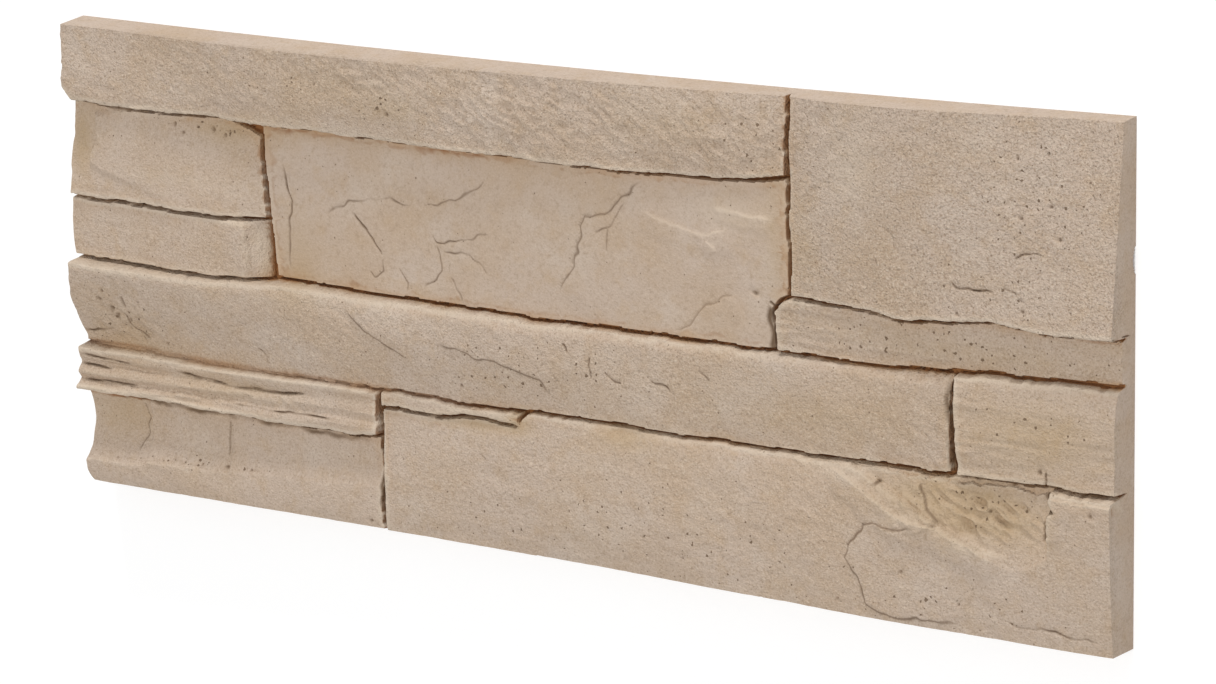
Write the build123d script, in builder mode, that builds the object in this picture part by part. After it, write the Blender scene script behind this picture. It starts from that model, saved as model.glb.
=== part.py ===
from build123d import *
import os

# Panel, in millimetres, measured from its lower left corner
panel_length = 487
panel_height = 200
slab_thickness = 6.5
top_sag = 2.2

# Joints between the moulded stones, and the lean of every wall out of the mould
joint_width = 0.9
draft = 3.0

# Heights of the courses
top_rail_height = 36.0
middle_bed = 98.6
thin_stone_height = 26.7
ledge_height = 20.8
ledge_rise = 2.0
lower_bed = 60.6
laminated_height = 21.0
sliver_height = 7.2

# Lengths of the stones at the left end
small_joint = 102.5
split_joint = 157.5
sliver_length = 68.5

# Lengths of the stones at the right end
block_length = 136.8
ledge_length = 144.5
corner_length = 68.0

# Broken corners
rail_corner_length = 5.0
rail_corner_height = 8.0
small_corner_length = 16.0
small_corner_height = 4.0
ledge_corner = 4.0
broken_run = 9.0
broken_rise = 7.0

# Scoops along the head of the lower left stone
scoop_radius = 25.0
scoop_bed = 10.5

# Scar under the corner stone
scar_length = 94.0
scar_height = 33.0
scar_overlap = 42.0
scar_wall = 26.0
scar_point = 14.0
scar_rise = 11.5
scar_fall = 0.16

# Chip in the back edge of the right end
notch_height = 147.4
notch_depth = 1.8
notch_radius = 8.0

# Room around each stone while it is cut to its face
clear_height = 40
face_margin = 2

# Bed joints above the bottom edge and head joints from the left end
half_joint = joint_width / 2
top_bed = panel_height - top_rail_height
small_bed = middle_bed + thin_stone_height
block_bed = middle_bed + ledge_height
ledge_bed = middle_bed + ledge_rise
sliver_bed = lower_bed - sliver_height
split_bed = lower_bed - laminated_height
sliver_end = split_joint + sliver_length
block_joint = panel_length - block_length
ledge_joint = panel_length - ledge_length
corner_joint = panel_length - corner_length

# Circle that the sagging top edge follows
sag_radius = (panel_length ** 2 / 4 + top_sag ** 2) / (2 * top_sag)


def top_edge(x):
    """Point of the sagging top edge at a distance from the left end."""
    centre = panel_height - top_sag + sag_radius
    return x, centre - (sag_radius ** 2 - (x - panel_length / 2) ** 2) ** 0.5


def placed(*points):
    """Moves points measured from the lower left corner to the panel's centre."""
    return [(x - panel_length / 2, y - panel_height / 2) for x, y in points]


def along(line, start, end, shift):
    """Part of a course line between two head joints, shifted up or down."""
    def height(x):
        for (x0, y0), (x1, y1) in zip(line, line[1:]):
            if x <= x1:
                break
        return y0 + (y1 - y0) * (x - x0) / (x1 - x0)
    inner = [(x, y) for x, y in line if start + face_margin < x < end - face_margin]
    points = [(start, height(start)), *inner, (end, height(end))]
    return [(x, y + shift) for x, y in points]


def above(line, start, end):
    """Lower edge of a stone that stands on a course line."""
    return along(line, start, end, half_joint)


def below(line, start, end):
    """Upper edge of a stone that hangs under a course line, right to left."""
    return along(line, start, end, -half_joint)[::-1]


def trace(outline, topped):
    """Draws an outline, closed by a straight side or by the panel's top edge."""
    Polyline(*placed(*outline), close=not topped)
    if topped:
        middle = top_edge((outline[0][0] + outline[-1][0]) / 2)
        ThreePointArc(*placed(outline[-1], middle, outline[0]))


def stone(outline, rises, topped=False, split_face=False):
    """One moulded stone: its outline, cut to the face that its rises give.

    Each entry of rises is a station along the length and how far the face stands
    out of the slab there, at even steps from the stone's foot to its head.
    """
    foot = min(y for _, y in outline) - face_margin - panel_height / 2
    head = max(y for _, y in outline) + face_margin - panel_height / 2
    with BuildPart() as body:
        with BuildSketch():
            with BuildLine():
                trace(outline, topped)
            make_face()
        extrude(amount=clear_height, taper=draft)
        for station, row in rises:
            step = (head - foot) / (len(row) - 1)
            face = [(foot + i * step, slab_thickness + rise) for i, rise in enumerate(row)]
            with BuildSketch(Plane.YZ.offset(station - panel_length / 2)):
                with BuildLine():
                    if split_face:
                        Polyline(*face)
                    else:
                        Spline(*face)
                    Polyline(face[-1], (head, -face_margin), (foot, -face_margin), face[0])
                make_face()
        loft(mode=Mode.INTERSECT)
    return body.part


# Course lines, with their small rises and falls
left = -face_margin
right = panel_length + face_margin
top_line = [(left, top_bed + 2), (60, top_bed + 1.8), (block_joint - 105, top_bed - 1.6),
            (block_joint - 30, top_bed - 0.8), (block_joint + 2, top_bed + 2.4)]
small_line = [(left, small_bed + 0.4), (small_joint - 17, small_bed - 1), (small_joint + 6, small_bed)]
middle_line = [(left, middle_bed + 1.2), (70, middle_bed - 0.8), (small_joint + 4, middle_bed + 1.4),
               (ledge_joint - 112, middle_bed - 1), (corner_joint + 2, middle_bed)]
block_line = [(ledge_joint - 2, block_bed - 1.4), (block_joint, block_bed + 1),
              (block_joint + 32, block_bed), (block_joint + 50, block_bed - 2),
              (block_joint + 86, block_bed + 1.6), (block_joint + 106, block_bed - 0.6),
              (right, block_bed + 0.6)]
ledge_line = [(corner_joint - 4, ledge_bed - 1.4), (corner_joint + 12, ledge_bed), (right, ledge_bed + 1.2)]
lower_line = [(left, lower_bed + 1), (70, lower_bed - 0.8), (split_joint, lower_bed),
              (sliver_end - 19, lower_bed - 1.8), (sliver_end + 9, lower_bed - 0.4),
              (corner_joint - 114, lower_bed - 1), (right, lower_bed + 1.2)]
sliver_line = [(split_joint - 2, sliver_bed - 0.4), (split_joint + 28, sliver_bed - 0.8),
               (split_joint + 40, sliver_bed + 1.4), (sliver_end + 2, sliver_bed)]
split_line = [(left, split_bed + 1.6), (48, split_bed + 1), (split_joint - 17, split_bed - 1.2),
              (split_joint + 2, split_bed + 1.4)]

# Top course: the long rail and the big block
rail_end = block_joint - half_joint
top_rail = stone(
    [top_edge(0), (0, top_bed + rail_corner_height), *above(top_line, rail_corner_length, rail_end),
     top_edge(rail_end)],
    [(left, [9.5, 11.5, 11, 9.5, 9.5]), (60, [10.5, 12, 11.5, 11, 11]),
     (130, [10.5, 12.5, 13.5, 13.5, 14]), (block_joint - 120, [10.5, 11.5, 11.5, 11, 10.5]),
     (block_joint - 50, [9, 10, 9.5, 8.5, 6.5]), (block_joint + 2, [5.5, 5.3, 4.7, 3.7, 2.4])],
    topped=True)
block_start = block_joint + half_joint
big_block = stone(
    [top_edge(block_start), *above(block_line, block_start, panel_length), top_edge(panel_length)],
    [(block_joint - 2, [6.5, 6.5, 6, 5, 2.5]), (block_joint + 45, [8, 8.5, 9, 9, 8.5]),
     (block_joint + 90, [10, 8.5, 7.5, 6, 4.5]), (right, [12, 9.5, 7, 4.7, 2.7])],
    topped=True)

# Left of the middle: the small scooped stone and the thin broken one
small_end = small_joint - half_joint
small_stone = stone(
    [*above(small_line, 0, small_end + 0.4), (small_end - 1.7, top_bed - small_corner_height),
     *below(top_line, 0, small_end - small_corner_length)],
    [(left, [10, 8, 4, 2.2]), (24, [10, 9, 7.5, 6]), (small_joint - 22, [8.8, 8, 6.5, 5]),
     (small_joint + 2, [4.8, 4.6, 4.3, 3.9])])
thin_stone = stone(
    [*above(middle_line, 0, small_end + 1.9), *below(small_line, 0, small_end + 0.5)],
    [(left, [9.5, 9, 7.5]), (60, [9.5, 9.3, 8]), (small_joint + 2, [9.5, 9.3, 8])])

# Middle: the wide smooth stone and the ledge under the big block
wide_start = small_joint + half_joint
wide_end = ledge_joint - half_joint
wide_stone = stone(
    [*above(middle_line, wide_start + 2, wide_end), (wide_end, block_bed - ledge_corner),
     *above(block_line, wide_end + ledge_corner, rail_end), *below(top_line, wide_start - 2, rail_end)],
    [(wide_start - 4, [3.2, 4.3, 4.3, 3.5]), (block_joint + 2, [3.2, 4.5, 4.9, 4.3])])
ledge_start = ledge_joint + half_joint
ledge_stone = stone(
    [*above(middle_line, ledge_start, corner_joint - 6), *above(ledge_line, corner_joint, panel_length),
     *below(block_line, ledge_start + ledge_corner - 0.3, panel_length),
     (ledge_start, block_bed - ledge_corner - 0.4)],
    [(ledge_joint - 2, [5.5, 6, 5]), (right, [1.3, 2.6, 3.9])])

# Below the middle: the long rail and the stone at its right end
long_end = corner_joint - half_joint
long_rail = stone(
    [*above(lower_line, 0, long_end), *below(middle_line, 0, long_end)],
    [(left, [5, 7, 13, 16, 18]), (60, [5.5, 7.5, 11, 13.5, 14.5]), (150, [5.5, 7.5, 9.5, 10.5, 9.5]),
     (corner_joint - 119, [5.5, 6.5, 7.5, 7.5, 6.5]), (corner_joint + 2, [5.5, 6, 6, 6, 4.5])])
corner_start = corner_joint + half_joint
corner_stone = stone(
    [*above(lower_line, corner_start + 3, panel_length), *below(ledge_line, corner_start, panel_length)],
    [(corner_joint - 2, [8.5, 9, 9, 8.5, 5.5]), (right, [8.5, 8.5, 8.7, 8.1, 3])])

# Bottom course: the laminated stone, the sliver, and the two long stones
split_end = split_joint - half_joint
laminated_stone = stone(
    [*above(split_line, 0, split_end), *below(lower_line, 0, split_end)],
    [(left, [11.5, 13.5, 14.5, 9.5, 12, 9.5, 11, 12, 11]),
     (split_joint + 2, [9, 9.5, 10, 8.5, 9.5, 8.5, 9, 9.5, 8.5])],
    split_face=True)
base_start = split_joint + half_joint
sliver = stone(
    [*above(sliver_line, base_start, sliver_end), *below(lower_line, base_start, sliver_end)],
    [(split_joint - 2, [8, 8, 7.5]), (sliver_end + 2, [8, 8, 7.5])])
scooped_stone = stone(
    [(0, 0), (split_end, 0), *below(split_line, 0, split_end - 1.5)],
    [(left, [8, 11.5, 11, 9, 7]), (60, [8, 10, 9, 7, 6]), (split_joint + 2, [5.5, 7.5, 7, 5.5, 4.5])])
base_stone = stone(
    [(base_start, 0), (panel_length, 0), *below(lower_line, sliver_end + 3, panel_length),
     *below(sliver_line, base_start, sliver_end - 2)],
    [(split_joint - 2, [7.8, 9, 8.5, 7, 5.5]), (corner_joint - 119, [8, 10, 10.5, 9.5, 6.5]),
     (corner_joint - 19, [10, 11, 11.5, 11, 8.5]), (right, [8, 10, 11.5, 12.7, 13.7])])

# Hollows broken out of single stones
scar_end = corner_joint + scar_overlap
scar_tip = (scar_end - scar_point, lower_bed - scar_height)
with BuildPart() as broken_stone:
    add(thin_stone)
    slope = Plane(origin=(small_end + 1.2 - panel_length / 2, 0, slab_thickness),
                  z_dir=(broken_rise, 0, broken_run))
    split(bisect_by=slope, keep=Keep.BOTTOM)

with BuildPart() as hollowed_stone:
    add(scooped_stone)
    for start, end, floor in [(left, 34, 2.5), (34, 78, 3.7), (78, split_joint, 4.4)]:
        with BuildSketch(Plane.YZ.offset(start - panel_length / 2)):
            with Locations((split_bed - scoop_bed - panel_height / 2, slab_thickness + floor + scoop_radius)):
                Circle(scoop_radius)
        extrude(amount=end - start, mode=Mode.SUBTRACT)

with BuildPart() as scar:
    with BuildSketch():
        with BuildLine():
            Polyline(*placed((scar_end - scar_length, lower_bed + face_margin), scar_tip,
                             (scar_end, lower_bed - scar_wall), (scar_end, lower_bed + face_margin)),
                     close=True)
        make_face()
    extrude(amount=clear_height)
    for x, y in placed(scar_tip):
        scar_face = Plane(origin=(x, y, slab_thickness + scar_rise), z_dir=(0, scar_fall, 1))
    split(bisect_by=scar_face, keep=Keep.TOP)

with BuildPart() as scarred_stone:
    add(base_stone)
    add(scar.part, mode=Mode.SUBTRACT)

# The whole casting
with BuildPart() as panel:
    with BuildSketch():
        with BuildLine():
            trace([top_edge(0), (0, 0), (panel_length, 0), top_edge(panel_length)], True)
        make_face()
    extrude(amount=slab_thickness, taper=draft)
    for piece in [top_rail, big_block, small_stone, broken_stone.part, wide_stone, ledge_stone,
                  long_rail, corner_stone, laminated_stone, sliver, hollowed_stone.part, scarred_stone.part]:
        add(piece)
    for x, y in placed((panel_length, notch_height)):
        with Locations((x, y, notch_depth - notch_radius)):
            Sphere(notch_radius, mode=Mode.SUBTRACT)

panel.part.label = "stone_panel"

os.makedirs("parts", exist_ok=True)
export_step(panel.part, "parts/stone_panel.step")
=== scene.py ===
import math

import bpy
import numpy as np
from bpy.props import FloatProperty, FloatVectorProperty, IntProperty, PointerProperty
from mathutils import Matrix, Vector
from mathutils.bvhtree import BVHTree


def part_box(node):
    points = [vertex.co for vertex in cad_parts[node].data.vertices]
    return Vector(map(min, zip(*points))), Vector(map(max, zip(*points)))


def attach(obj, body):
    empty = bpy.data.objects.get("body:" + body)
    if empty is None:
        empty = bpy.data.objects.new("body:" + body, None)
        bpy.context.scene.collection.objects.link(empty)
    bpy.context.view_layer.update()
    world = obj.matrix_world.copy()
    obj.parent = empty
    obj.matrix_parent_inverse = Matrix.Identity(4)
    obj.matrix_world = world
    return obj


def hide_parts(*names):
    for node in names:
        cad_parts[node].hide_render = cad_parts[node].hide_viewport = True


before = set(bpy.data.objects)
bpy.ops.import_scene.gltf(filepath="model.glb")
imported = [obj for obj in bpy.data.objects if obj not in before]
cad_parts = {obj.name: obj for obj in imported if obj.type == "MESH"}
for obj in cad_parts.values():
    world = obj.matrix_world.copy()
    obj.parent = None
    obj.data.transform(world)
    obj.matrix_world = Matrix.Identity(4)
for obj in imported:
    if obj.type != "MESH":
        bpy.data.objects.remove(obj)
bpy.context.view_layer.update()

bl_info = {
    "name": "Cast stacked-stone panel",
    "version": (1, 0, 0),
    "blender": (4, 5, 0),
    "location": "3D View > Sidebar > Stone panel",
    "description": "Dresses the solid of a cast stacked-stone wall panel with its relief and finish",
    "category": "Object",
}

NODE = "stone_panel"
MM = 0.001
MOST_TRIANGLES = 200000
CREASE = math.radians(50)

# How freely the thinning takes points away: anywhere, on the plain edges and back, and along cracks and
# painted shadow lines
THIN_FACE, THIN_EDGE, THIN_CRACK = 1.0, 0.7, 0.2

# Floor and lamps, in metres: half the floor's width, its gap under the panel, distance and width of the lamps
FLOOR_HALF, FLOOR_GAP = 4, 0.0002
LAMP_AWAY, LAMP_WIDTH = 6, 1.4
FLOOR_GLOW = 0.15
WHITE = (1, 1, 1, 1)

# One point inside each moulded stone, in millimetres from the panel's lower left corner
STONES = {
    "top_rail": (180, 182),
    "big_block": (420, 160),
    "small_stone": (50, 145),
    "thin_stone": (45, 112),
    "wide_stone": (220, 130),
    "ledge_stone": (420, 110),
    "long_rail": (220, 78),
    "corner_stone": (455, 80),
    "laminated_stone": (80, 50),
    "sliver": (190, 57),
    "scooped_stone": (100, 15),
    "base_stone": (300, 30),
}

# Relief of each stone: height, length along the strokes, length across them, angle of the strokes;
# a negative height gives sharp crests, as on a split face
GRAIN = {
    "top_rail": ((0.40, 60, 30, -25), (-0.10, 16, 7, -32), (-0.09, 6, 3, -28), (0.06, 3, 2.2, -20)),
    "big_block": ((0.40, 70, 45, 35), (-0.10, 18, 9, 40), (0.05, 5, 3.2, 35), (0.06, 2.4, 2, 0)),
    "small_stone": ((0.30, 40, 30, 0), (0.06, 9, 5, -20), (0.04, 3, 2.4, 0)),
    "thin_stone": ((0.30, 40, 20, 0), (-0.07, 10, 5, -15), (0.05, 3, 2.4, 0)),
    "wide_stone": ((0.30, 90, 60, 20), (0.05, 20, 9, -15), (0.02, 5, 3, -10)),
    "ledge_stone": ((0.30, 60, 14, 0), (0.18, 34, 2.4, 0), (0.14, 9, 2, 0)),
    "long_rail": ((0.40, 55, 26, -28), (-0.10, 18, 7, -36), (-0.06, 6, 2.8, -42), (0.05, 3, 2.2, -30)),
    "corner_stone": ((0.25, 60, 14, 0), (0.13, 34, 2.6, 0), (0.10, 8, 2, 0)),
    "laminated_stone": ((0.25, 90, 5, 0), (-0.20, 70, 2.6, 0), (0.10, 20, 2, 0)),
    "sliver": ((0.20, 25, 6, 0), (0.08, 5, 2.5, 0)),
    "scooped_stone": ((0.25, 34, 26, 0), (0.06, 9, 6, 0), (0.04, 3, 2.4, 0)),
    "base_stone": ((0.35, 60, 34, -20), (-0.08, 20, 10, -30), (0.06, 5, 3, -20), (0.05, 3, 2.2, 0)),
}

# Rougher split places: middle, reach along and up the panel, height
ROUGH = (
    (430, 47, 26, 9, 1.00), (157, 191, 26, 7, 0.35), (25, 77, 20, 13, 0.45), (235, 182, 50, 12, 0.55),
    (325, 178, 22, 12, 0.40), (450, 165, 26, 26, 0.12), (95, 51, 36, 4, 0.25), (12, 153, 8, 12, 0.20),
)

# Places full of air pores: middle, reach along and up the panel, strength
PITTED = (
    (75, 160, 15, 5, 1.0), (25, 77, 18, 13, 1.0), (172, 180, 14, 8, 0.8), (120, 187, 14, 5, 0.6),
    (335, 180, 15, 10, 0.8), (455, 172, 20, 24, 0.6), (440, 135, 30, 10, 0.6), (300, 20, 60, 15, 0.7),
    (430, 50, 22, 8, 1.0), (420, 12, 40, 8, 0.7), (68, 15.5, 24, 2, 1.0), (240, 80, 60, 10, 0.5),
    (455, 84, 25, 6, 0.6), (410, 108, 60, 8, 0.7), (215, 72, 20, 8, 0.7), (200, 15, 35, 9, 0.5),
)

# How sandy each stone feels, from polished to coarse
GRIT = {
    "top_rail": 0.9, "big_block": 1.0, "small_stone": 0.6, "thin_stone": 0.7, "wide_stone": 0.25,
    "ledge_stone": 0.8, "long_rail": 0.8, "corner_stone": 0.7, "laminated_stone": 0.7, "sliver": 0.7,
    "scooped_stone": 0.6, "base_stone": 0.65,
}

# Masks on the plain edges and back of the casting
EDGE_MASKS = {"grit": 0.3}

# Rubbed shoulders: stone, drop at both ends, width, and the edge
SHOULDERS = (
    ("long_rail", 2.6, 0.5, 4.5, ((418.5, 98), (230, 97), (106.5, 99.5), (70, 97.5), (0, 99.5))),
    ("laminated_stone", 0.8, 0.4, 2.5, ((156, 60), (70, 59.5), (0, 61))),
    ("base_stone", 1.2, 1.2, 4.0, ((350, 59), (300, 59), (235, 60))),
)

# Fine cracks, and wider bands of painted shadow beside the stones that stand proud: depth, half width, and
# their run
CRACKS_AND_SHADE_BANDS = (
    (0.8, 0.45, ((111.5, 150.5), (112.5, 140), (114.5, 134), (112, 126), (112.5, 119), (111, 102))),
    (0.4, 0.4, ((130, 129), (134, 132), (146, 137), (164, 140.5), (170, 137.5), (178, 138.5))),
    (0.3, 0.4, ((178, 138.5), (196, 142), (206, 148), (212, 153))),
    (0.6, 0.4, ((144, 132), (150, 127), (156, 120), (159, 115))),
    (0.3, 0.4, ((159, 115), (160, 109), (155, 107), (152, 110))),
    (0.4, 0.4, ((183, 129), (187, 124), (200, 126), (214, 131))),
    (0.3, 0.4, ((187, 124), (188, 112), (184, 108), (178, 104))),
    (0.5, 0.4, ((189, 120), (203, 120), (208, 116), (211, 112))),
    (0.3, 0.4, ((167, 112), (171, 106), (170, 101))),
    (0.3, 0.4, ((192, 110), (196, 104), (198, 100))),
    (0.8, 0.5, ((340.5, 118), (344, 116))),
    # Painted shadow bands left of the ledge, corner and base stones and under the laminated stone
    (0.8, 1.2, ((341, 117), (341, 108), (341, 97))),
    (0.8, 1.3, ((417.5, 99), (417.5, 80), (418.5, 60))),
    (0.5, 0.8, ((155.5, 40), (156, 20), (156.5, 0))),
    (0.5, 1.2, ((0, 39.5), (48, 39), (140, 36.8), (157, 38.5))),
    (0.3, 0.4, ((278, 150), (270, 140), (262, 135))),
    (0.3, 0.4, ((268, 139), (268, 128))),
    (0.8, 0.6, ((1, 66), (10, 67), (19, 69))),
    (1.2, 0.8, ((26.5, 85), (29, 81))),
    (0.4, 0.5, ((25, 78), (30.5, 71.5), (37, 66))),
    (0.4, 0.4, ((95.5, 70.5), (100, 66.5), (100, 63))),
    (0.9, 0.4, ((1, 57.5), (13, 56.5), (31.5, 56))),
    (1.0, 0.4, ((1, 53), (20, 52))),
    (1.2, 0.5, ((47.5, 55.5), (71, 54), (81, 52.5), (96, 52.5), (105, 52.5), (124, 54.5))),
    (0.8, 0.4, ((1, 46.5), (33, 46.5))),
    (0.8, 0.4, ((81, 46), (104.5, 45), (123, 45.5), (137.5, 45))),
    (0.5, 0.45, ((438, 10), (445, 8.5), (454, 7), (463, 8), (474, 6.5), (483, 5.5))),
    (0.9, 0.5, ((419.5, 135.5), (425, 133.5), (431, 133), (438, 134))),
    (0.4, 0.4, ((441, 134.5), (446, 134.5), (449, 132.5), (449.5, 131))),
    (0.6, 0.45, ((392.5, 153), (395, 150.5), (396.5, 148.5), (397, 145))),
    (0.6, 0.45, ((445.5, 147), (449.5, 148.5), (453, 149), (456.5, 148.5))),
    (0.6, 0.45, ((459.5, 68.5), (459, 60.5))),
    (1.8, 1.1, ((458.5, 59.5), (462.5, 53))),
    (1.2, 0.8, ((458, 49), (459, 41))),
    (0.5, 0.4, ((432.5, 36.5), (431.5, 33))),
    (0.5, 0.4, ((247.5, 91), (250.5, 87))),
    (0.5, 0.4, ((260, 87), (260.5, 78))),
    (0.5, 0.4, ((267, 81.5), (275.5, 77))),
    (0.5, 0.4, ((288, 81.5), (297.5, 77.5))),
    (0.5, 0.4, ((310, 87.5), (314.5, 83))),
    (0.4, 0.4, ((242.5, 78), (245.5, 73.5))),
    (0.5, 0.4, ((206, 40.5), (209.5, 37))),
)

# Sheets of stone that stand a little proud: height, fade, painted shadow line along the foot of the edge
# (painted highlight along the edge if negative), and the edge with the sheet on its left
FLAKES = (
    (0.6, 45, 0.7, ((286, 160), (279, 153.5), (267, 144), (257.5, 142), (256, 134.5), (252.5, 122),
                    (242.5, 108))),
    (0.6, 25, 0.6, ((327, 119.5), (312, 113), (304, 104), (296, 100.5))),
    (0.8, 10, -1.0, ((324, 145), (315, 141), (306, 141.5), (295, 144.5), (283, 148))),
    (0.8, 8, -1.0, ((343, 149.5), (333, 150.5), (316, 153))),
    (0.6, 6, -0.8, ((318, 135), (313, 140))),
    (0.9, 15, -1.0, ((93.5, 100), (93, 124))),
    (1.4, 40, 0.6, ((13.5, 163), (15, 154.5), (13, 146), (11, 138))),
    (0.9, 30, 0.7, ((30, 38), (31.5, 30), (30.5, 21), (28, 15))),
    (0.6, 30, 0.6, ((75, 20), (75.5, 29.5), (77, 37))),
    (0.7, 30, 0.8, ((143, 92.5), (159, 82.5), (175, 75))),
    (0.7, 30, 0.8, ((187, 83.5), (215.5, 80), (236.5, 75), (241, 67.5))),
    (0.8, 40, 0.8, ((412, 40), (399.5, 38.5), (384.5, 38), (380, 32), (376.5, 23.5), (381.5, 15), (385, 5.5),
                    (394, 3), (411, 4.5), (427, 4.5))),
    (2.0, 12, -1.2, ((446, 32.5), (430.5, 35.5), (414.5, 40.5), (397, 43.5), (390.5, 47), (379.5, 54),
                     (366, 58))),
    (1.3, 12, 0.7, ((414, 41.5), (410, 46.5), (408, 51.5), (405, 57))),
    (1.0, 12, 0.7, ((459, 60), (462.5, 54), (458, 48.5), (459, 41))),
)

# Shallow hollows: place, reach along and up the panel, depth
HOLLOWS = (
    (22, 80, 9, 9, 1.2), (34, 69, 10, 5, 0.8), (275, 57, 7, 3, 1.0), (207, 52.5, 14, 2.5, 0.8),
    (473, 186, 4, 12, 0.5), (90, 162, 10, 3, 0.6), (94, 53, 16, 2.5, 0.8), (387, 54, 8, 4, 0.6),
)

# Joints that the casting closed: place, reach along and up the panel, share
FILLED = (
    (20, 61, 45, 4, 0.9), (85, 60, 45, 4, 0.9), (140, 60, 30, 4, 0.7),
    (190, 60, 28, 3, 0.6), (300, 60, 60, 4, 0.4),
)

# Pale places: rubbed pale, and painted highlight on broken ends and shoulders: place, reach along and up the
# panel, strength
PALE_AND_HIGHLIT = (
    (98, 112, 4, 11, 1.0), (378, 174, 10, 18, 0.5), (325, 150, 18, 6, 0.5), (402, 42, 10, 3, 0.6),
    (428, 35, 10, 2.5, 0.7), (60, 138, 35, 3, 0.3), (130, 168, 60, 2, 0.4), (240, 164, 60, 2, 0.4),
    (130, 95, 80, 4, 0.3), (375, 56, 14, 3, 0.6),
)

# Larger air pores: place and radius
PITS = (
    (302, 11, 0.9), (457.5, 186, 1.0), (456.5, 68, 1.0), (334, 119.5, 1.3), (57, 161, 0.8),
    (61.5, 158, 0.7), (69, 161, 0.8), (77, 160.5, 0.7), (82, 158, 0.8), (84.5, 160, 0.7),
    (48.5, 15, 0.7), (54, 15, 0.6), (62.5, 15.5, 0.7), (66, 15.5, 0.6), (75.5, 15.5, 0.8),
    (87, 16.5, 0.6), (89.5, 16.5, 0.7), (18, 12.5, 0.6), (150, 3.7, 0.8), (198, 67, 1.0),
    (382.5, 130.5, 0.8), (446, 183, 0.7), (449, 126.5, 0.9), (422.5, 124, 0.7), (463, 155, 0.8),
    (448, 161.5, 0.8), (459, 167, 0.7), (121, 186, 0.7), (135, 186, 0.6), (171, 176.5, 0.8),
    (400, 21.5, 0.7), (424.5, 11.5, 0.7), (371.5, 7, 0.8), (482, 2.5, 0.9), (478.5, 55, 0.7),
    (427.5, 54, 0.9), (437, 49, 0.8), (387.5, 53.5, 0.8), (18.5, 87, 1.0), (20, 79, 1.5),
    (16, 83, 1.0), (22, 76, 1.3), (30, 74, 0.8), (38, 69.5, 0.8), (46, 66, 0.7),
    (54.5, 64, 0.7), (27, 71, 0.7), (33, 67, 0.7),
)

# Ochre and olive wash: place, reach along and up the panel, strength
STAINS = (
    (432, 48, 24, 10, 1.4), (405, 52, 20, 8, 0.8), (85, 160, 18, 6, 0.7), (150, 185, 30, 10, 0.4),
    (25, 74, 22, 14, 0.3), (90, 52, 30, 5, 0.5), (15, 30, 16, 9, 0.6), (275, 56, 12, 5, 0.9),
    (205, 52, 22, 3, 0.9), (360, 76, 40, 10, 0.4), (355, 140, 8, 20, 0.5), (455, 80, 30, 14, 0.9),
    (420, 108, 50, 6, 0.4), (175, 178, 12, 6, 0.5), (300, 184, 30, 9, 0.3), (225, 56, 6, 5, 1.0),
    (6, 150, 7, 13, 1.1), (116, 112, 9, 18, 0.6), (344, 140, 4, 25, 0.6),
)


def linear(code):
    """Linear colour of an sRGB hex value."""
    parts = [int(code[i:i + 2], 16) / 255 for i in (1, 3, 5)]
    return [p / 12.92 if p <= 0.04045 else ((p + 0.055) / 1.055) ** 2.4 for p in parts]


class StonePanelLook(bpy.types.PropertyGroup):
    """Sizes and colours of the casting."""

    step: FloatProperty(name="Relief step", description="Spacing of the points that carry the relief",
                        default=0.5 * MM, unit="LENGTH", precision=5)
    triangles: IntProperty(name="Triangles", description="Triangles left after thinning", default=190000)
    wander: FloatProperty(name="Edge wander", description="How far the edges of the stones wander",
                          default=0.32 * MM, unit="LENGTH", precision=5)
    grow: FloatProperty(name="Joint closing", description="How far each stone spreads into its joints",
                        default=0.55 * MM, unit="LENGTH", precision=5)
    seam: FloatProperty(name="Joint depth", description="Depth of the line left open between two stones",
                        default=1.6 * MM, unit="LENGTH", precision=5)
    rounding: FloatProperty(name="Rim rounding", description="Height lost at the rim of each stone",
                            default=0.3 * MM, unit="LENGTH", precision=5)
    inset: FloatProperty(name="Face inset", description="Distance from the panel's outline to its face",
                         default=0.8 * MM, unit="LENGTH", precision=5)
    face: FloatVectorProperty(name="Face", description="Dry cast face", subtype="COLOR",
                              default=linear("#b9a695"))
    warm: FloatVectorProperty(name="Warm face", description="Parts of the face that took more pigment",
                              subtype="COLOR", default=linear("#b29a80"))
    dark: FloatVectorProperty(name="Dark grit", description="Darker sand in the mix", subtype="COLOR",
                              default=linear("#96806a"))
    pale: FloatVectorProperty(name="Pale face", description="Chalky parts of the face", subtype="COLOR",
                              default=linear("#c2b3a5"))
    # Also the colour of the painted highlights along raised sheets and on broken ends and shoulders
    worn_and_highlit: FloatVectorProperty(name="Worn edge", description="Rubbed edges and high grains", subtype="COLOR",
                              default=linear("#cfbfab"))
    # Also the colour of the painted shadow under the stones that stand proud
    joint: FloatVectorProperty(name="Joint", description="Pigment wash left in the joints", subtype="COLOR",
                               default=linear("#83552a"))
    patina: FloatVectorProperty(name="Patina", description="Orange wash beside the joints", subtype="COLOR",
                                default=linear("#a67a48"))
    stain: FloatVectorProperty(name="Stain", description="Ochre wash in the hollows", subtype="COLOR",
                               default=linear("#a78c62"))
    # Also the colour of the cracks and of the painted shadow lines and bands
    pore: FloatVectorProperty(name="Pore", description="Shade inside the air pores", subtype="COLOR",
                              default=linear("#5f4830"))


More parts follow.
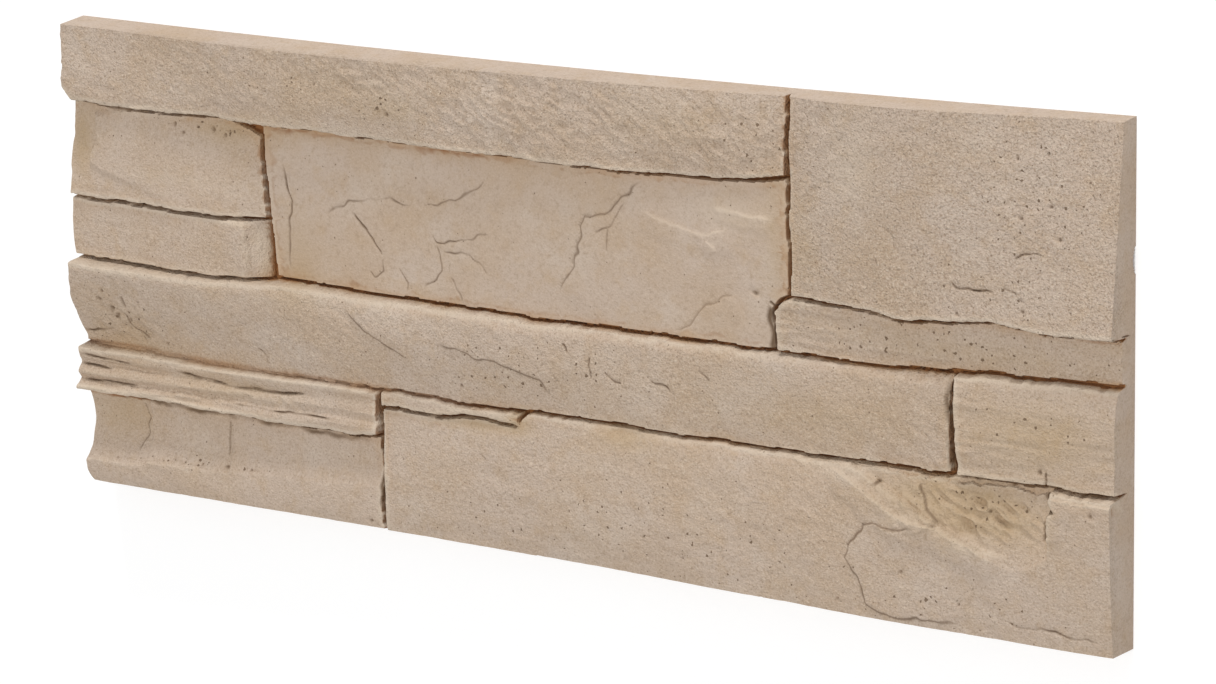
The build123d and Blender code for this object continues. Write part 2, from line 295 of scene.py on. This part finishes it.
class StonePanelStage(bpy.types.PropertyGroup):
    """Floor, light and camera."""

    floor: FloatVectorProperty(name="Floor", description="Floor and backdrop", subtype="COLOR",
                               default=linear("#f4f4f4"))
    key: FloatProperty(name="Key light", description="Power of the main soft light",
                       default=196.0, unit="POWER")
    upper: FloatProperty(name="Upper light", description="Power of the broad light beyond the top edge",
                         default=175.0, unit="POWER")
    fill: FloatProperty(name="Fill", description="Strength of the even light around", default=0.42)
    lens: FloatProperty(name="Lens", description="Focal length on a frame 36 mm wide", default=116.43)
    place: FloatVectorProperty(name="Camera place", description="Where the camera stands", subtype="XYZ",
                               default=(0.83726, 0.38840, 1.24672), unit="LENGTH")
    aim: FloatVectorProperty(name="Camera aim", description="Point of the floor in the middle of the view",
                             subtype="XYZ", default=(0.0161, -0.0107, 0.0), unit="LENGTH")
    roll: FloatProperty(name="Camera roll", description="Turn about the line of sight",
                        default=math.radians(1.68), subtype="ANGLE")


class Relief:
    """Even grid over the panel's face, in millimetres from its lower left corner."""

    def __init__(self, look):
        low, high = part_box(NODE)
        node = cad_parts[NODE].data
        self.tree = BVHTree.FromPolygons([v.co for v in node.vertices], [p.vertices for p in node.polygons])
        self.corner = np.array(low[:2]) / MM
        self.size = np.array(high[:2]) / MM - self.corner
        self.step = look.step / MM
        self.inset = look.inset / MM
        columns, rows = np.round((self.size - 2 * self.inset) / self.step).astype(int) + 1
        across = np.linspace(self.inset, self.size[0] - self.inset, columns)
        self.crest = np.array([self.wall(x, 2, "top") for x in across]) - self.inset
        self.y = self.inset + np.linspace(0, 1, rows)[:, None] * (self.crest - self.inset)
        self.x = np.broadcast_to(across, self.y.shape)

    def world(self, x, y, z):
        """Point of the frame, in metres."""
        return Vector(((x + self.corner[0]) * MM, (y + self.corner[1]) * MM, z * MM))

    def wall(self, along, z, side):
        """Where a ray from outside meets the panel's edge."""
        far = self.size + 50
        start, way = {
            "left": ((-50, along, z), (1, 0, 0)),
            "right": ((far[0], along, z), (-1, 0, 0)),
            "bottom": ((along, -50, z), (0, 1, 0)),
            "top": ((along, far[1], z), (0, -1, 0)),
        }[side]
        axis = 0 if way[0] else 1
        hit = self.tree.ray_cast(self.world(*start), Vector(way))[0]
        return hit[axis] / MM - self.corner[axis] if hit else math.inf

    def edge(self, along, z, side):
        """Where the panel's edge is at a height, with the open ends of the joints closed."""
        base, here = self.wall(along, 4, side), self.wall(along, z, side)
        return here if abs(here - base) < 2.5 else base

    def under(self, x, y):
        """Height of the panel's back."""
        return self.tree.ray_cast(self.world(x, y, -50), Vector((0, 0, 1)))[0].z / MM

    def cast(self, dx, dy):
        """Height of the solid under each point, with the points shifted."""
        x = np.clip(self.x + dx, self.inset, self.size[0] - self.inset).ravel().tolist()
        y = np.clip(self.y + dy, self.inset, self.crest).ravel().tolist()
        down, ray, place = Vector((0, 0, -1)), self.tree.ray_cast, self.world
        heights = [ray(place(a, b, 100), down)[0].z for a, b in zip(x, y)]
        return np.array(heights).reshape(self.x.shape) / MM

    def wave(self, seed, along, across, angle=0):
        """Even random relief with the given lengths, of unit spread."""
        rows, columns = self.x.shape
        spectrum = np.fft.rfft2(np.random.default_rng(seed).standard_normal((rows, columns)))
        v = np.fft.fftfreq(rows, self.step)[:, None]
        u = np.fft.rfftfreq(columns, self.step)
        c, s = math.cos(math.radians(angle)), math.sin(math.radians(angle))
        keep = np.exp(-2 * (((u * c + v * s) * along) ** 2 + ((v * c - u * s) * across) ** 2))
        made = np.fft.irfft2(spectrum * keep, (rows, columns))
        made -= made.mean()
        return made / made.std()

    def blur(self, values, radius):
        """Soft average of values over a radius."""
        reach = max(1, int(round(3 * radius / self.step)))
        weights = np.exp(-0.5 * (np.arange(-reach, reach + 1) * self.step / radius) ** 2)
        weights /= weights.sum()
        for axis in (0, 1):
            room = [(reach, reach) if axis == a else (0, 0) for a in (0, 1)]
            wide = np.pad(values, room, mode="edge")
            count = values.shape[axis]
            values = sum(w * np.take(wide, range(i, i + count), axis) for i, w in enumerate(weights))
        return values

    def lowest(self, values, reach):
        """Least value within a reach."""
        count = int(round(reach / self.step))
        for axis in (0, 1):
            wide = np.pad(values, [(count, count) if axis == a else (0, 0) for a in (0, 1)], mode="edge")
            values = np.minimum.reduce([np.take(wide, range(i, i + values.shape[axis]), axis)
                                        for i in range(2 * count + 1)])
        return values

    def stones(self, raised):
        """Numbers the points of each stone, by growth from its seed over the raised points."""
        rows, columns = (count // 2 * 2 for count in raised.shape)
        held = raised[:rows, :columns].reshape(rows // 2, 2, columns // 2, 2).all((1, 3))
        marks = np.zeros(held.shape, np.int8)
        x, y = self.x[:rows:2, :columns:2], self.y[:rows:2, :columns:2]
        for number, (px, py) in enumerate(STONES.values(), 1):
            marks.ravel()[np.argmin((x - px) ** 2 + (y - py) ** 2)] = number
        for area in (held, np.ones_like(held)):
            count = -1
            while count != np.count_nonzero(marks):
                count = np.count_nonzero(marks)
                ring = np.pad(marks, 1)
                for near in (ring[:-2, 1:-1], ring[2:, 1:-1], ring[1:-1, :-2], ring[1:-1, 2:]):
                    marks = np.where((marks == 0) & area, near, marks)
        marks = np.repeat(np.repeat(marks, 2, 0), 2, 1)
        return np.pad(marks, [(0, a - b) for a, b in zip(raised.shape, marks.shape)], mode="edge")

    def follow(self, points, shake):
        """Distance to a line, the side of it (left is positive) and the share of its length."""
        x, y = self.x + shake[0], self.y + shake[1]
        near = np.full(x.shape, 1e6)
        side, share = np.zeros(x.shape), np.zeros(x.shape)
        runs = [math.dist(a, b) for a, b in zip(points, points[1:])]
        done = 0
        for (ax, ay), (bx, by), run in zip(points, points[1:], runs):
            ux, uy = bx - ax, by - ay
            t = np.clip(((x - ax) * ux + (y - ay) * uy) / run ** 2, 0, 1)
            dx, dy = x - ax - t * ux, y - ay - t * uy
            away = np.hypot(dx, dy)
            closer = away < near
            near = np.where(closer, away, near)
            side = np.where(closer, np.sign(ux * dy - uy * dx), side)
            share = np.where(closer, (done + t * run) / sum(runs), share)
            done += run
        return near, side, share

    def patches(self, spots):
        """Sum of soft round patches."""
        return sum(high * np.exp(-((self.x - x) / along) ** 2 - ((self.y - y) / up) ** 2)
                   for x, y, along, up, high in spots)

    def ragged(self):
        """How far the broken left end draws back at each row, with its lower corner rubbed round."""
        y = self.y[:, 0]
        broken = 0.4 + 0.4 * self.wave(81, 5, 5)[:, 0] + 0.4 * self.wave(82, 18, 18)[:, 0]
        return np.clip(broken, 0, 1.3) + 4 * np.clip(1 - y / 8, 0, 1) ** 2

    def read(self, values, x, y):
        """Values at free points of the face."""
        rows, columns = self.x.shape
        j = np.clip((x - self.inset) / (self.size[0] - 2 * self.inset) * (columns - 1), 0, columns - 1.001)
        top = np.interp(x, self.x[0], self.crest)
        i = np.clip((y - self.inset) / (top - self.inset) * (rows - 1), 0, rows - 1.001)
        a, b = i.astype(int), j.astype(int)
        p, q = i - a, j - b
        low = values[a, b] * (1 - q) + values[a, b + 1] * q
        high = values[a + 1, b] * (1 - q) + values[a + 1, b + 1] * q
        return low * (1 - p) + high * p


def step_up(low, high, values):
    """Smooth step from 0 to 1."""
    t = np.clip((values - low) / (high - low), 0, 1)
    return t * t * (3 - 2 * t)


def carve(grid, look):
    """Heights of the face and the masks of its finish."""
    wander, grow = look.wander / MM, look.grow / MM
    drift = [wander * (0.8 * grid.wave(s, 14, 14) + 0.4 * grid.wave(s + 1, 3.5, 3.5)) for s in (11, 21)]
    turns = np.arange(8) * math.pi / 4
    around = [(0, 0)] + [(grow * math.cos(turn), grow * math.sin(turn)) for turn in turns]
    bare, *rest = [grid.cast(drift[0] + a, drift[1] + b) for a, b in around]
    floor = bare.min()
    open_joint = grid.blur((bare < floor + 1.2).astype(float), 0.3)
    seam, line = step_up(0.42, 0.9, open_joint), step_up(0.15, 0.6, open_joint)
    number = grid.stones(bare > floor + 0.8)
    solid = grid.blur(np.maximum.reduce([bare, *rest]), 0.22)
    filled = np.clip(grid.patches(FILLED), 0, 1)
    solid += filled * (grid.lowest(-grid.lowest(-solid, 1), 1) - solid)
    seam *= 1 - 0.8 * filled
    raised = solid > floor + 1.2
    inside = step_up(0.3, 1.8, solid - floor)

    # Split, sawn and layered faces, rougher in some places than in others
    relief = np.zeros(solid.shape)
    for n, name in enumerate(STONES, 1):
        for i, (high, *shape) in enumerate(GRAIN[name]):
            wave = grid.wave(100 * n + i, *shape)
            relief += np.where(number == n, high * wave if high > 0 else 1.4 * high * (abs(wave) - 0.8), 0)
    relief *= np.clip(0.85 + 0.35 * grid.wave(51, 50, 35), 0.3, 1.5)
    relief += grid.patches(ROUGH) * (1.1 - 1.4 * abs(grid.wave(52, 7, 3.5, -28)))
    rim = np.clip(2 - 2 * grid.blur(raised.astype(float), 0.45), 0, 1)
    shoulder = np.zeros(solid.shape)

    # Rubbed shoulders, hollows, cracks, bands of painted shadow and raised sheets with painted shade and
    # highlight along their edges, straighter on the laminated stone
    layered = list(STONES).index("laminated_stone") + 1
    shake = [np.where(number == layered, 0.12, 0.45) * grid.wave(s, 5, 5) for s in (71, 72)]
    for name, first, last, width, points in SHOULDERS:
        near, side, share = grid.follow(points, shake)
        near = np.where(side > 0, near, 0)
        round_off = (first + (last - first) * share) * np.clip(1 - near / width, 0, 1) ** 1.7
        shoulder += np.where(number == list(STONES).index(name) + 1, round_off, 0)
    smooth = step_up(0.2, 1.2, shoulder)
    chips = np.clip(grid.wave(61, 6, 6) - 1.1, 0, 1.5) * (1 - smooth)
    height = solid + inside * (relief * (1 - 0.6 * rim) * (1 - 0.8 * smooth) - shoulder
                               - look.rounding / MM * rim ** 2 - 0.6 * chips * rim - grid.patches(HOLLOWS))
    height -= look.seam / MM * seam * inside
    lines, rubbed = np.zeros(solid.shape), np.zeros(solid.shape)
    uneven = np.clip(0.9 + 0.3 * grid.wave(74, 9, 9), 0.4, 1.2)
    for depth, width, points in CRACKS_AND_SHADE_BANDS:
        near, _, share = grid.follow(points, shake)
        groove = uneven * np.exp(-(near / width) ** 2) * step_up(0, 0.15, share) * step_up(0, 0.15, 1 - share)
        height -= depth * groove
        # Dark line along each run: the crack's own colour, and painted shadow on the wide bands
        lines = np.maximum(lines, groove * min(1, 0.3 + depth))
    for rise, fade, wash, points in FLAKES:
        near, side, share = grid.follow(points, shake)
        ends = step_up(0, 0.12, share) * step_up(0, 0.12, 1 - share)
        sheet = np.exp(-near / fade) * step_up(-0.4, 0.4, side * near) * step_up(fade, 0.6 * fade, near)
        height += inside * rise * ends * sheet
        # Painted shadow line at the foot of the sheet's edge where the wash is positive
        lines = np.maximum(lines, wash * ends * np.exp(-((side * near + 0.3) / 0.5) ** 2))
        # Painted highlight along the sheet's edge where the wash is negative
        rubbed = np.maximum(rubbed, -0.7 * wash * ends * np.exp(-((side * near - 0.2) / 0.45) ** 2))
    pores, torn = np.zeros(solid.shape), np.clip(0.95 + 0.35 * grid.wave(73, 2.5, 2), 0.3, 1.6)
    for x, y, size in PITS:
        bowl = np.exp(-((grid.x + shake[0] - x) ** 2 + (grid.y + shake[1] - y) ** 2) / (torn * size) ** 2)
        pores = np.maximum(pores, bowl)
    height -= 1.2 * pores * inside

    # Brown wash in the bottom of the joints; painted shadow on the strip below every stone that stands out
    # over the one below it, as cast by a light beyond the top edge;
    # brown on the steep right-hand cliffs beside the joints, but not up the brows that face the top edge
    # Painted shadow: how far the stone above rises over a line of light that falls 2.2 mm for each mm down
    # the panel
    under = np.zeros(solid.shape)
    for k in range(1, 8):
        rise = np.roll(height, -k, 0) - height - 2.2 * k * grid.step
        rise[-k:] = 0
        under = np.maximum(under, rise)
    brow = grid.blur(step_up(0.3, 1.2, np.pad(height[:-2] - height[2:], ((1, 1), (0, 0)))), 0.5)
    under *= 1 - np.clip(2 * brow, 0, 1)
    cliff = grid.blur(step_up(1.3, 2.4, np.pad(height[:, :-2] - height[:, 2:], ((0, 0), (1, 1)))), 0.3)
    cliff *= 1 - np.clip(2 * brow, 0, 1)
    cliff = step_up(0.2, 0.7, cliff * step_up(0.02, 0.1, grid.blur(line, 1.2)))
    lowest = grid.lowest(height, 1.5)
    wash = grid.patches(STAINS) + step_up(0.5, 4.0, grid.blur(height, 8) - height) * 0.5
    masks = {
        "joint": step_up(0.06, 0.3, grid.blur(np.maximum(line, 1 - inside), 0.8)) * (1 - 0.75 * filled),
        "low": (grid.blur(height * line, 0.8) + 0.01 * lowest) / (grid.blur(line, 0.8) + 0.01) * MM,
        "under": np.maximum(step_up(0.2, 1.2, under), 0.9 * cliff),
        "patina": (np.clip(2.0 * grid.blur(line, 0.9) + grid.blur(line, 2.5), 0, 1)
                   * step_up(-1.2, 1.0, grid.wave(63, 25, 25)) * (1 - 0.6 * filled)),
        # Worn rims and rubbed places, with painted highlight along raised sheets, broken ends and shoulders
        "worn_and_highlit": np.maximum(step_up(0.15, 1.4, height - grid.blur(height, 1.6)) * inside,
                           np.clip(rubbed + grid.patches(PALE_AND_HIGHLIT), 0, 1)),
        "crack_and_shade_line": lines,
        "pore": pores * inside,
        "stain": np.clip(wash, 0, 1),
        "pitted": np.clip(0.35 + grid.patches(PITTED), 0, 1),
        "grit": grid.blur(np.array([0, *GRIT.values()])[number], 0.5),
    }
    return height, masks


def panel_mesh(grid, height):
    """Closed mesh of the casting: face, four edges and flat back."""
    rows, columns = height.shape
    index = np.arange(rows * columns).reshape(rows, columns)
    broken = grid.ragged()[:, None]
    points = [np.stack([grid.x + broken * np.exp(-grid.x / 7), grid.y, height], -1).reshape(-1, 3)]
    quads = [np.stack([index[:-1, :-1], index[:-1, 1:], index[1:, 1:], index[1:, :-1]], -1).reshape(-1, 4)]
    loop = np.concatenate([index[0, :-1], index[:-1, -1], index[-1, :0:-1], index[:0:-1, 0]])
    rim = points[0][loop]
    x, y = rim[:, 0], rim[:, 1]
    sides = {"left": loop % columns == 0, "right": loop % columns == columns - 1,
             "bottom": loop < columns, "top": loop >= (rows - 1) * columns}
    rings = []
    base = np.array([grid.under(a, b) for a, b in zip(x, y)])
    for share in (0.92, 0.75, 0.55, 0.35, 0.18, 0):
        ring = np.stack([x, y, base + share * (rim[:, 2] - base)], -1)
        for side, held in sides.items():
            axis = 0 if side in ("left", "right") else 1
            for k in np.flatnonzero(held):
                ring[k, axis] = grid.edge(rim[k, 1 - axis], ring[k, 2] + 0.05, side)
            if side == "left":
                ring[held, 0] += broken[loop[held] // columns, 0] * (0.4 + 0.5 * share)
        rings.append(ring)
    outline = rings[-1]
    top = np.interp(x, grid.x[0], grid.crest) + grid.inset
    for inward in (1.5, 3, 4.5, 6.5):
        back = outline.copy()
        back[:, 0] = inward + outline[:, 0] * (1 - 2 * inward / grid.size[0])
        back[:, 1] = inward + outline[:, 1] * (1 - 2 * inward / top)
        back[:, 2] = [grid.under(a, b) for a, b in back[:, :2]]
        rings.append(back)
    last, total = loop, rows * columns
    for ring in rings:
        fresh = total + np.arange(len(loop))
        quads.append(np.stack([np.roll(last, -1), last, fresh, np.roll(fresh, -1)], -1))
        points.append(ring)
        last, total = fresh, total + len(loop)
    points, quads = np.concatenate(points), np.concatenate(quads)
    points = (points + np.append(grid.corner, 0)) * MM
    mesh = bpy.data.meshes.new("stone_panel_cast")
    mesh.from_pydata(points, [], quads.tolist() + [last[::-1].tolist()])
    return mesh


def add(tree, kind, inputs, **settings):
    """Adds a node with its settings, its fixed values and its links."""
    made = tree.nodes.new("ShaderNode" + kind)
    for name, value in settings.items():
        setattr(made, name, value)
    for socket, value in inputs.items():
        if isinstance(value, bpy.types.NodeSocket):
            tree.links.new(value, made.inputs[socket])
        else:
            made.inputs[socket].default_value = value
    return made


def direct_view(tree):
    """1 where the floor or the surround is seen directly, in a reflection or through a clear piece."""
    path = add(tree, "LightPath", {}).outputs
    shown = path["Is Camera Ray"]
    for way in ("Is Glossy Ray", "Is Transmission Ray"):
        shown = add(tree, "Math", {0: shown, 1: path[way]}, operation="MAXIMUM").outputs[0]
    return shown


def cast_stone(look):
    """Cast stone: pigmented concrete poured in a rubber mould, so matt and sandy, with air pores painted dark
    as shade, a brown wash left in the joints, painted shadow under the proud stones and at the foot of raised
    sheets, and pale rubbed edges with painted highlights."""
    material = bpy.data.materials.new("cast_stone_rubber_moulded")
    material.use_nodes = True
    tree = material.node_tree
    tree.nodes.clear()
    place = add(tree, "TexCoord", {}).outputs["Object"]
    masks = {name: add(tree, "Attribute", {}, attribute_name=name).outputs["Fac"]
             for name in ("joint", "low", "under", "patina", "worn_and_highlit", "crack_and_shade_line", "pore", "stain", "pitted",
                          "grit")}

    # Clouds of pigment 45 mm across, chalky ones of 30 mm, blotches of 9 mm, grit of 2 mm, and sand of
    # 0.4 mm drawn at 0.8 mm so that it shows; air pores of up to 1 mm about 2.2 mm apart
    cloud, chalk, blotch, grit, sand = (
        add(tree, "TexNoise", {"Vector": place, "Scale": 1 / (size * MM), "Detail": detail,
                               "Roughness": 0.6}).outputs["Fac"]
        for size, detail in ((45, 3.0), (30, 4.0), (9, 4.0), (2, 2.0), (0.8, 1.0)))
    cells = add(tree, "TexVoronoi", {"Vector": place, "Scale": 1 / (2.2 * MM)})
    few = add(tree, "SeparateColor", {"Color": cells.outputs["Color"]}).outputs[0]
    size = add(tree, "MapRange", {"Value": few, "From Min": 0.5, "From Max": 1.0, "To Max": 0.4}).outputs[0]
    reach = add(tree, "Math", {0: size, 1: masks["pitted"], 2: 0.2}, operation="MULTIPLY_ADD").outputs[0]
    torn = add(tree, "Math", {0: sand, 1: 0.5, 2: cells.outputs["Distance"]},
               operation="MULTIPLY_ADD").outputs[0]
    bubble = add(tree, "Math", {0: torn, 1: reach}, operation="LESS_THAN").outputs[0]

    # The wash stays within 1.6 mm of the bottom of a joint, its orange halo within 4 mm
    height = add(tree, "SeparateXYZ", {"Vector": place}).outputs["Z"]
    above = add(tree, "Math", {0: height, 1: masks["low"]}, operation="SUBTRACT").outputs[0]
    held = add(tree, "MapRange", {"Value": above, "From Min": 1.6 * MM, "From Max": 0.6 * MM}).outputs[0]
    bottom = add(tree, "Math", {0: held, 1: masks["joint"]}, operation="MULTIPLY").outputs[0]
    beside = add(tree, "MapRange", {"Value": above, "From Min": 4.0 * MM, "From Max": 1.2 * MM}).outputs[0]
    halo = add(tree, "Math", {0: beside, 1: masks["patina"]}, operation="MULTIPLY").outputs[0]

    coarse = add(tree, "Math", {0: masks["grit"], 1: 0.7, 2: 0.2}, operation="MULTIPLY_ADD").outputs[0]
    colour = (*look.face, 1)
    layers = (
        ((*look.warm, 1), cloud, 0.42, 0.65, 0.6),
        ((*look.pale, 1), chalk, 0.50, 0.70, 0.5),
        ((*look.warm, 1), blotch, 0.50, 0.72, 0.65),
        ((*look.dark, 1), grit, 0.52, 0.75, 0.4),
        ((*look.dark, 1), sand, 0.45, 0.25, coarse),
        ((*look.worn_and_highlit, 1), sand, 0.55, 0.8, coarse),
        # Worn rims, with the painted highlights
        ((*look.worn_and_highlit, 1), masks["worn_and_highlit"], 0.0, 1.0, 0.55),
        ((*look.stain, 1), masks["stain"], 0.0, 1.0, 0.5),
        ((*look.patina, 1), halo, 0.0, 1.0, 0.7),
        # Painted shade in the small air pores
        ((*look.pore, 1), bubble, 0.0, 1.0, 0.8),
        ((*look.joint, 1), bottom, 0.0, 0.8, 0.97),
        # Painted shadow under the stones that stand proud, and brown on the right-hand cliffs, in the joint
        # colour
        ((*look.joint, 1), masks["under"], 0.0, 1.0, 0.85),
        # Cracks in dark, with the painted shadow lines and bands in the same colour
        ((*look.pore, 1), masks["crack_and_shade_line"], 0.1, 0.9, 0.9),
        # Painted shade in the larger air pores
        ((*look.pore, 1), masks["pore"], 0.3, 1.0, 0.8),
    )
    for coat, mask, low, high, most in layers:
        share = add(tree, "MapRange", {"Value": mask, "From Min": low, "From Max": high, "To Max": most})
        mixed = add(tree, "Mix", {0: share.outputs[0], 6: colour, 7: coat}, data_type="RGBA")
        colour = mixed.outputs[2]

    # Sand and grit stand up, the small pores go in
    normal = None
    for shape, strength, depth in ((sand, masks["grit"], 0.7), (grit, masks["grit"], 1.0),
                                   (bubble, 1.0, -0.4)):
        bump = add(tree, "Bump", {"Height": shape, "Strength": strength, "Distance": depth * MM})
        if normal:
            tree.links.new(normal, bump.inputs["Normal"])
        normal = bump.outputs[0]
    rough = add(tree, "MapRange", {"Value": sand, "To Min": 0.8, "To Max": 0.95})
    shader = add(tree, "BsdfPrincipled", {"Base Color": colour, "Roughness": rough.outputs[0], "IOR": 1.5,
                                          "Normal": normal})
    add(tree, "OutputMaterial", {"Surface": shader.outputs[0]})
    return material


class STONE_OT_panel(bpy.types.Operator):
    """Dresses the solid with the relief and finish of the cast stones"""

    bl_idname = "stone.panel"
    bl_label = "Cast panel"

    def execute(self, context):
        look = context.scene.stone_panel_look
        grid = Relief(look)
        height, masks = carve(grid, look)
        piece = bpy.data.objects.new("stone_panel_cast", panel_mesh(grid, height))
        context.collection.objects.link(piece)

        thin = piece.modifiers.new("Thin", "DECIMATE")
        thin.ratio = look.triangles / sum(len(p.vertices) - 2 for p in piece.data.polygons)
        thin.use_collapse_triangulate = True
        loose = piece.vertex_groups.new(name="loose")
        loose.add(range(len(piece.data.vertices)), THIN_FACE, "REPLACE")
        loose.add(range(height.size, len(piece.data.vertices)), THIN_EDGE, "REPLACE")
        loose.add(np.flatnonzero(masks["crack_and_shade_line"] > 0.08).tolist(), THIN_CRACK, "REPLACE")
        thin.vertex_group = loose.name
        mesh = bpy.data.meshes.new_from_object(piece.evaluated_get(context.evaluated_depsgraph_get()))
        piece.modifiers.clear()
        piece.data = mesh
        piece.vertex_groups.clear()
        if len(mesh.polygons) > MOST_TRIANGLES:
            raise RuntimeError("The panel has too many triangles")

        spots = np.empty(len(mesh.vertices) * 3)
        mesh.vertices.foreach_get("co", spots)
        spots = spots.reshape(-1, 3) / MM - np.append(grid.corner, 0)
        slack = 0.9 * grid.inset
        crest = np.interp(spots[:, 0], grid.x[0], grid.crest)
        face = ((spots[:, 2] > 4) & (spots[:, 0] > slack) & (spots[:, 0] < grid.size[0] - slack)
                & (spots[:, 1] > slack) & (spots[:, 1] < crest + 0.1 * grid.inset))
        for name, values in masks.items():
            held = np.where(face, grid.read(values, spots[:, 0], spots[:, 1]), EDGE_MASKS.get(name, 0))
            mesh.attributes.new(name, "FLOAT", "POINT").data.foreach_set("value", held.astype(np.float32))
        mesh.shade_smooth()
        mesh.set_sharp_from_angle(angle=CREASE)
        mesh.materials.append(cast_stone(look))
        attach(piece, "root")
        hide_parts(NODE)
        return {"FINISHED"}


class STONE_OT_stage(bpy.types.Operator):
    """Sets the floor, the soft studio light and the camera"""

    bl_idname = "stone.stage"
    bl_label = "Stage"

    def execute(self, context):
        scene, stage = context.scene, context.scene.stone_panel_stage
        scene.view_settings.view_transform = "Standard"

        # Matt paper: pale and even, white to the eye and still grey in the shade
        paper = bpy.data.materials.new("matt_paper")
        paper.use_nodes = True
        tree = paper.node_tree
        tree.nodes.clear()
        sheet = add(tree, "BsdfDiffuse", {"Color": (*stage.floor, 1)})
        glow = add(tree, "Emission", {"Color": WHITE, "Strength": FLOOR_GLOW})
        lit = add(tree, "AddShader", {0: sheet.outputs[0], 1: glow.outputs[0]})
        seen = add(tree, "MixShader", {0: direct_view(tree), 1: sheet.outputs[0], 2: lit.outputs[0]})
        add(tree, "OutputMaterial", {"Surface": seen.outputs[0]})
        mesh = bpy.data.meshes.new("floor")
        corners = [(x * FLOOR_HALF, y * FLOOR_HALF, 0) for x, y in ((-1, -1), (1, -1), (1, 1), (-1, 1))]
        mesh.from_pydata(corners, [], [(0, 1, 2, 3)])
        mesh.materials.append(paper)
        floor = bpy.data.objects.new("floor", mesh)
        scene.collection.objects.link(floor)
        floor.location.z = -FLOOR_GAP

        world = bpy.data.worlds.new("studio")
        world.use_nodes = True
        tree = world.node_tree
        tree.nodes.clear()
        even = add(tree, "Background", {"Color": WHITE, "Strength": stage.fill})
        white = add(tree, "Background", {"Color": WHITE, "Strength": 1.0})
        seen = add(tree, "MixShader", {0: direct_view(tree), 1: even.outputs[0], 2: white.outputs[0]})
        add(tree, "OutputWorld", {"Surface": seen.outputs[0]})
        scene.world = world

        for name, power, way in (("key", stage.key, (0.17, 0.08, 0.97)),
                                 ("upper", stage.upper, (0.0, 0.98, 0.18))):
            lamp = bpy.data.lights.new(name, "AREA")
            lamp.energy, lamp.size = power, LAMP_WIDTH
            light = bpy.data.objects.new(name, lamp)
            light.location = Vector(way).normalized() * LAMP_AWAY
            light.rotation_euler = light.location.to_track_quat("Z", "Y").to_euler()
            scene.collection.objects.link(light)

        lens = bpy.data.cameras.new("camera")
        lens.lens, lens.sensor_width = stage.lens, 36.0
        camera = bpy.data.objects.new("camera", lens)
        back = (Vector(stage.place) - Vector(stage.aim)).normalized()
        right = Vector((0, 1, 0)).cross(back).normalized()
        turn = Matrix((right, back.cross(right), back)).transposed()
        camera.matrix_world = (Matrix.Translation(stage.place)
                               @ (turn @ Matrix.Rotation(-stage.roll, 3, "Z")).to_4x4())
        scene.collection.objects.link(camera)
        scene.camera = camera
        return {"FINISHED"}


class STONE_PT_sidebar(bpy.types.Panel):
    """Lists the sizes, the colours and the two steps"""

    bl_idname = "STONE_PT_sidebar"
    bl_label = "Stone panel"
    bl_space_type = "VIEW_3D"
    bl_region_type = "UI"
    bl_category = "Stone panel"

    def draw(self, context):
        for group, step in (("stone_panel_look", STONE_OT_panel), ("stone_panel_stage", STONE_OT_stage)):
            box = self.layout.box()
            values = getattr(context.scene, group)
            for name in values.__annotations__:
                box.prop(values, name)
            box.operator(step.bl_idname)


CLASSES = (StonePanelLook, StonePanelStage, STONE_OT_panel, STONE_OT_stage, STONE_PT_sidebar)


def register():
    for item in CLASSES:
        bpy.utils.register_class(item)
    bpy.types.Scene.stone_panel_look = PointerProperty(type=StonePanelLook)
    bpy.types.Scene.stone_panel_stage = PointerProperty(type=StonePanelStage)


def unregister():
    del bpy.types.Scene.stone_panel_stage
    del bpy.types.Scene.stone_panel_look
    for item in reversed(CLASSES):
        bpy.utils.unregister_class(item)


def main():
    register()
    bpy.ops.stone.stage()
    bpy.ops.stone.panel()


if __name__ == "__main__":
    main()
